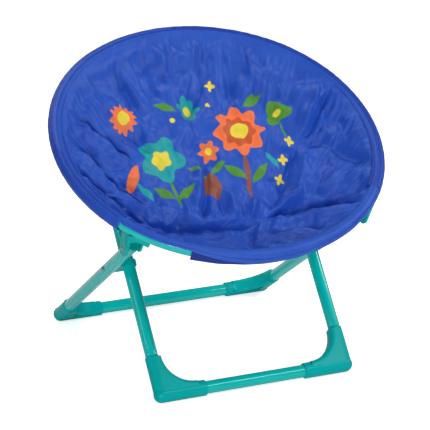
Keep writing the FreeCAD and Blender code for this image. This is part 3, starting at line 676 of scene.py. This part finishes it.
def make_blossom():
    """A round shape with petals: a wave round its edge. No wave gives a plain disc."""
    group, given, out = new_group(
        "blossom", {"Vector": VECTOR, "Centre": VECTOR, "Radius": FLOAT, "Petals": FLOAT, "Depth": FLOAT,
                    "Turn": FLOAT}, {"Mask": FLOAT})
    apart = from_centre(group, given)
    split = node_after(group, "ShaderNodeSeparateXYZ", n0=apart)
    radius = node_after(group, "ShaderNodeVectorMath", _operation="LENGTH", n0=apart)
    angle = maths(group, "ARCTAN2", split.outputs["Y"], split.outputs["X"])
    wave = maths(group, "COSINE",
                 maths(group, "MULTIPLY_ADD", angle, given.outputs["Petals"], given.outputs["Turn"]))
    swing = maths(group, "MULTIPLY_ADD", wave, given.outputs["Depth"], 1.0)
    edge = maths(group, "MULTIPLY", swing, given.outputs["Radius"])
    past = maths(group, "SUBTRACT", radius.outputs["Value"], edge)
    group.links.new(edge_mask(group, past), out.inputs["Mask"])
    return group


def make_leaf():
    """A pointed leaf: two arcs from tip to tip."""
    group, given, out = new_group(
        "leaf", {"Vector": VECTOR, "Centre": VECTOR, "Angle": FLOAT, "Length": FLOAT, "Width": FLOAT},
        {"Mask": FLOAT})
    turned = node_after(group, "ShaderNodeVectorRotate", _rotation_type="Z_AXIS",
                        Vector=from_centre(group, given), Angle=given.outputs["Angle"])
    split = node_after(group, "ShaderNodeSeparateXYZ", n0=turned.outputs[0])
    along = maths(group, "DIVIDE", split.outputs["X"], given.outputs["Length"])
    belly = maths(group, "SUBTRACT", 1.0, maths(group, "MULTIPLY", along, along))
    half = maths(group, "MULTIPLY", belly, given.outputs["Width"])
    past = maths(group, "SUBTRACT", maths(group, "ABSOLUTE", split.outputs["Y"]), half)
    group.links.new(edge_mask(group, past), out.inputs["Mask"])
    return group


BLOSSOM, LEAF = make_blossom(), make_leaf()
ORANGE, GREEN, BROWN = linear(250, 122, 66), linear(84, 148, 48), linear(148, 84, 66)
AQUA, YELLOW, RUST = linear(24, 164, 166), linear(240, 218, 62), linear(206, 88, 44)
# Blossoms: centre and radius in millimetres over the bowl, petals, depth of the petals, turn, colour.
BLOSSOMS = (
    (58, 48, 35, 8, 0.15, 0.4, ORANGE), (58, 48, 23, 8, 0.10, 1.9, RUST), (58, 48, 13, 1, 0.0, 0.0, YELLOW),
    (-72, 18, 31, 5, 0.20, 0.9, AQUA), (-72, 18, 14, 5, 0.12, 2.5, YELLOW),
    (-112, 84, 18, 12, 0.17, 0.0, ORANGE), (-112, 84, 9, 1, 0.0, 0.0, YELLOW),
    (-6, 98, 15, 6, 0.20, 1.1, AQUA), (-6, 98, 6, 1, 0.0, 0.0, YELLOW),
    (124, 66, 17, 3, 0.26, 0.8, GREEN), (124, 66, 5, 1, 0.0, 0.0, YELLOW),
    (2, 20, 13, 6, 0.22, 0.0, ORANGE), (2, 20, 5, 1, 0.0, 0.0, YELLOW),
    (112, -6, 6, 4, 0.34, 0.4, YELLOW), (128, 18, 6, 4, 0.34, 1.4, YELLOW),
    (98, -34, 6, 4, 0.34, 2.2, YELLOW), (24, 96, 4, 1, 0.0, 0.0, YELLOW),
    (-40, 74, 4, 1, 0.0, 0.0, YELLOW), (36, 126, 6, 4, 0.34, 0.9, YELLOW),
)
# Leaves and stems: centre, angle in degrees, half length, half width, colour.
LEAVES = (
    (50, -24, 83, 42, 4.5, BROWN), (33, -16, 140, 19, 6.5, GREEN), (70, -22, 42, 20, 6.5, GREEN),
    (-66, -34, 98, 26, 2.6, GREEN), (-84, -34, 146, 19, 6.0, GREEN), (-50, -38, 36, 19, 6.0, GREEN),
    (-8, -34, 88, 24, 13.0, BROWN), (-22, -6, 148, 16, 5.0, GREEN), (8, -6, 34, 16, 5.0, GREEN),
    (124, 36, 88, 16, 2.0, GREEN), (-126, -14, 60, 24, 8.0, ORANGE), (-112, -34, 120, 18, 6.0, AQUA),
    (92, 92, 25, 20, 6.5, GREEN), (-44, 100, 160, 19, 6.0, GREEN), (96, -4, 118, 15, 4.5, AQUA),
)


def laid_over(tree, place, shown, group, x, y, colour, values):
    """One motif of the print over what is under it."""
    motif = group_in(tree, group, place, {"Centre": (x * MM, y * MM, 0), **values})
    return mixed(tree, motif.outputs["Mask"], shown, colour)


def print_motifs(tree, place, shown):
    """The printed picture: leaves and stems first, and the blossoms over them."""
    for x, y, angle, length, width, colour in LEAVES:
        shown = laid_over(tree, place, shown, LEAF, x, y, colour, {
            "Angle": -math.radians(angle), "Length": length * MM, "Width": width * MM})
    for x, y, radius, petals, depth, turn, colour in BLOSSOMS:
        shown = laid_over(tree, place, shown, BLOSSOM, x, y, colour, {
            "Radius": radius * MM, "Petals": petals, "Depth": depth, "Turn": turn})
    return shown


seat_cloth = cloth_material("printed polyester", BLUE, BLUE_DARK, print_on=print_motifs)
for vertex in bm.verts:
    vertex.co = ON_RING @ vertex.co
bm.verts.index_update()
twins = [grown["vert_map"][vertex].index for vertex in upper]
seat_bowl = new_piece("seat_bowl", bm, seat_cloth, "seat", "seat_fabric", "seat_pad")

PRESSURE = 4.0
SLACK = 0.03
SIM_FRAMES = 20
CAP = 6.0 * MM
HELD_BACK = 0.9
# What holds the cloth: the seam from this share of the rise on, creases by their depth, and the lining.
SEWN_FROM = 0.93
CREASE_HOLD, CREASE_DEPTH = 0.9, 7.0
LINING_HOLD = 0.3


def swell(piece, held):
    """Blow the padded piece up a little as cloth and keep the result. Held vertices are pulled back to
    their places by their weight, and keep less of their way."""
    group = piece.vertex_groups.new(name="sewn")
    for index, weight in held.items():
        group.add([index], weight, "REPLACE")
    cloth = piece.modifiers.new("cloth", "CLOTH")
    settings = cloth.settings
    settings.quality = 6
    settings.mass = 0.25
    settings.tension_stiffness = 20
    settings.compression_stiffness = 20
    settings.shear_stiffness = 8
    settings.bending_stiffness = 0.4
    settings.air_damping = 3
    settings.vertex_group_mass = "sewn"
    settings.use_pressure = True
    settings.uniform_pressure_force = PRESSURE
    settings.shrink_min = -SLACK
    settings.effector_weights.gravity = 0
    cloth.collision_settings.use_collision = False
    start = np.array([vertex.co for vertex in piece.data.vertices])
    for step in range(1, SIM_FRAMES + 1):
        scene.frame_set(step)
    made = piece.evaluated_get(bpy.context.evaluated_depsgraph_get()).data
    moved = np.array([vertex.co for vertex in made.vertices]) - start
    far = np.linalg.norm(moved, axis=1, keepdims=True)
    caps = np.array([[CAP * (1 - HELD_BACK * held.get(index, 0.0))] for index in range(len(start))])
    moved *= caps * np.tanh(far / caps) / np.maximum(far, 1e-9)
    piece.modifiers.remove(cloth)
    piece.data.vertices.foreach_set("co", (start + moved).ravel())
    piece.data.update()
    scene.frame_set(1)


held = {}
for index, twin in enumerate(twins):
    edge_hold = 1.0 if outer[index] > 0 else blend(rise[index], SEWN_FROM, 1.0)
    crease_hold = min(CREASE_HOLD, max(0.0, -folds[index] / CREASE_DEPTH))
    held[index] = max(edge_hold, crease_hold)
    held[twin] = max(edge_hold, LINING_HOLD)
swell(seat_bowl, held)
softer = seat_bowl.modifiers.new("softer", "SUBSURF")
softer.levels = softer.render_levels = 1


# Lining: a plain dark sheet under the wadding, sewn in with the bowl's edge. It is a copy of the bowl's
# underside, a little below it, and ends where the bowl turns over the ring's tube.
LINING_GAP = 0.9
LINING_THICK = 0.5
LINING_END = 0.25


def sheet_area(piece):
    """A sheet's area in square metres, before it gets its thickness."""
    return sum(polygon.area for polygon in piece.data.polygons)


lining_cloth = cloth_material("dark lining", linear(34, 54, 128), linear(26, 42, 108), rough=0.6)
underside = {twin for index, twin in enumerate(twins) if outer[index] <= LINING_END}
bm = bmesh.new()
bm.from_mesh(seat_bowl.data)
unwanted = [vertex for vertex in bm.verts if vertex.index not in underside]
bmesh.ops.delete(bm, geom=unwanted, context="VERTS")
bmesh.ops.translate(bm, verts=bm.verts, vec=ON_RING.to_3x3() @ Vector((0, 0, -LINING_GAP * MM)))
bm.normal_update()
layer = bm.loops.layers.uv["cloth"]
flat_of = ON_RING.inverted()
for face in bm.faces:
    for loop in face.loops:
        loop[layer].uv = (flat_of @ loop.vert.co)[:2]
lining = new_piece("seat_lining", bm, lining_cloth, "seat", "backing_fabric", "seat_backing")
wall = lining.modifiers.new("cloth thickness", "SOLIDIFY")
wall.thickness, wall.offset = LINING_THICK * MM, 0


# Ring sleeve: a strip of plain blue polyester turned over the tube and topstitched, with an opening at
# each bracket. Its folded edge lies on the bowl's edge.
SLEEVE_R = 10.4
SLEEVE_THICK = 1.0
SLEEVE_TURN = math.radians(330)
SLEEVE_STEPS = 420
SECTION_STEPS = 36
SECTION_RUN = 62
STITCH_BACK = math.radians(18)
GROOVE, GROOVE_HALF = 1.5, math.radians(8)
EDGE_BEAD, EDGE_BEAD_HALF = 0.35, math.radians(9)
HOOK_FROM, HOOK_TO = math.radians(49), math.radians(63)


def ring_strip(name, start, end, steps, path, material, slot, replaced, thickness, keep=None):
    """A strip of cloth along the ring from one normal angle to another. path gives its section there."""
    bm = bmesh.new()
    bmesh.ops.create_grid(bm, x_segments=steps, y_segments=SECTION_STEPS, size=1)
    layer = bm.loops.layers.uv.new("cloth")
    places = {}
    for vertex in bm.verts:
        along, across = (vertex.co.x + 1) / 2, (vertex.co.y + 1) / 2
        phi = start + (end - start) * along
        reach, height = path(phi, across)
        x, y = rim(phi, reach)
        places[vertex.index] = (phi * RING_MEAN_R * MM, across * SECTION_RUN * MM)
        vertex.co = Vector((x, y, height)) * MM
    for face in bm.faces:
        for loop in face.loops:
            loop[layer].uv = places[loop.vert.index]
    if keep:
        cut = [face for face in bm.faces if not keep(face.calc_center_median() / MM)]
        bmesh.ops.delete(bm, geom=cut, context="FACES")
    bmesh.ops.recalc_face_normals(bm, faces=bm.faces)
    for vertex in bm.verts:
        vertex.co = ON_RING @ vertex.co
    piece = new_piece(name, bm, material, "seat", slot, replaced)
    area = sheet_area(piece)
    wall = piece.modifiers.new("cloth thickness", "SOLIDIFY")
    wall.thickness, wall.offset = thickness * MM, 0
    return piece, area


def sleeve_path(phi, across):
    """The sleeve's section: from its folded edge on the bowl out over the tube and back under it."""
    seam = seam_angle(phi)
    turn_back = seam - SLEEVE_TURN * across
    pucker = 0.35 * noise.noise(Vector((phi * 34, across * 9, 1.0)))
    pucker += 0.245 * noise.noise(Vector((phi * 90, across * 5, 6.0)))
    groove = GROOVE * math.exp(-((seam - STITCH_BACK - turn_back) / GROOVE_HALF) ** 2)
    edge = EDGE_BEAD * math.exp(-((seam - turn_back) / EDGE_BEAD_HALF) ** 2)
    radius = SLEEVE_R + pucker - groove + edge
    return radius * math.cos(turn_back), radius * math.sin(turn_back)


def normal_angle(x, y):
    """The ring's normal angle at a place on it, folded on to the side of positive x."""
    side = math.atan2(y, abs(x) - SIDE_X)
    if abs(side) <= ARCS_MEET:
        return side
    return math.atan2(y + (END_Y if y > 0 else -END_Y), abs(x))


def off_the_brackets(centre):
    """Whether a bit of sleeve stays: it stops at the front brackets, and at the rear hooks it is cut
    away under the tube."""
    phi = normal_angle(centre.x, centre.y)
    if phi < -GAP_FROM:
        return False
    if HOOK_FROM < phi < HOOK_TO:
        return centre.z > 0
    return True


rim_cloth = cloth_material("blue rim cloth", linear(28, 76, 184), linear(22, 62, 168))
sleeve, sleeve_area = ring_strip("ring_sleeve", -GAP_FROM, math.pi + GAP_FROM, SLEEVE_STEPS, sleeve_path,
                                 rim_cloth, "rim_fabric", "rim_sleeve", SLEEVE_THICK, off_the_brackets)


# Front flap: the part of the sleeve that closes round the front of the ring. Its hem hangs a little
# below the tube. Its cloth is coloured darker than the sleeve's as painted shade, for the shade on the flap
# where it faces down.
FLAP_R = 8.5
FLAP_THICK = 0.8
HANGS_OFF = 0.2
FLAP_STEPS = 110
# The share of the strip that goes round the tube, and the degrees it turns there. The rest hangs down.
TUBE_SHARE = 0.7
FLAP_START_DEG, FLAP_TURN_DEG = -100, 260


def flap_path(phi, across):
    """The flap's section: from under the tube up its inner side and over it to its outside, then down."""
    if across < TUBE_SHARE:
        turn_back = math.radians(FLAP_START_DEG - FLAP_TURN_DEG * across / TUBE_SHARE)
        radius = FLAP_R + 0.15 * noise.noise(Vector((phi * 30, across * 7, 5.0)))
        return radius * math.cos(turn_back), radius * math.sin(turn_back)
    down = (across - TUBE_SHARE) / (1 - TUBE_SHARE)
    wave = 0.8 * noise.noise(Vector((phi * 12, 2.0, 5.0))) * down
    return FLAP_R + HANGS_OFF + wave, -hem_drop(phi) * down


# Painted shade: these flap colours are darker than the sleeve's to stand in for the shade on the
# downward-facing flap.
flap_cloth_painted_shade = cloth_material("flap cloth with painted shade", linear(20, 52, 146), linear(16, 44, 132), rough=0.6)
flap, flap_area = ring_strip("front_flap_cloth", FLAP_FROM, FLAP_TO, FLAP_STEPS, flap_path, flap_cloth_painted_shade,
                             "rim_fabric", "front_flap", FLAP_THICK)


# Topstitching: a row of short stitches in the groove of the sleeve, and on along the groove of the
# bowl's own hem at the front, in thread of a darker blue.
STITCH_LENGTH, STITCH_PITCH, THREAD_R = 2.6, 3.7, 0.32
STITCH_LIFT = 0.15


def stitch_place(phi):
    """A place in the groove, in millimetres from the ring's centre."""
    if past_side(phi) < GAP_FROM:
        at = seam_angle(phi) - STITCH_BACK
        radius = SLEEVE_R + SLEEVE_THICK / 2 - GROOVE + STITCH_LIFT
        x, y = rim(phi, radius * math.cos(at))
        return Vector((x, y, radius * math.sin(at)))
    hem = HEM_ROW / WRAP_ROWS
    return Vector(wrapped(phi, wrap_length(phi) * hem, cloth_radius(phi, hem) + STITCH_LIFT))


thread = finished_material("blue thread", linear(20, 40, 120), linear(40, 66, 150), grain=3000.0, bump=0.1,
                           drift=0.2, wear=0.1, gloss=0.5, dull=0.6)
bm = bmesh.new()
count = int(2 * math.pi * RING_MEAN_R / STITCH_PITCH)
for number in range(count):
    phi = -math.pi + 2 * math.pi * (number + 0.5) / count
    half = STITCH_LENGTH / 2 / RING_MEAN_R
    start, end = stitch_place(phi - half), stitch_place(phi + half)
    if (end - start).length > 2 * STITCH_LENGTH:
        continue
    spot = Matrix.Translation((start + end) / 2) @ (end - start).to_track_quat("Z", "Y").to_matrix().to_4x4()
    bmesh.ops.create_cone(bm, cap_ends=True, segments=6, radius1=THREAD_R, radius2=THREAD_R,
                          depth=(end - start).length, matrix=spot)
for vertex in bm.verts:
    vertex.co = ON_RING @ (vertex.co * MM)
new_piece("rim_stitches", bm, thread, "seat", "rim_fabric")
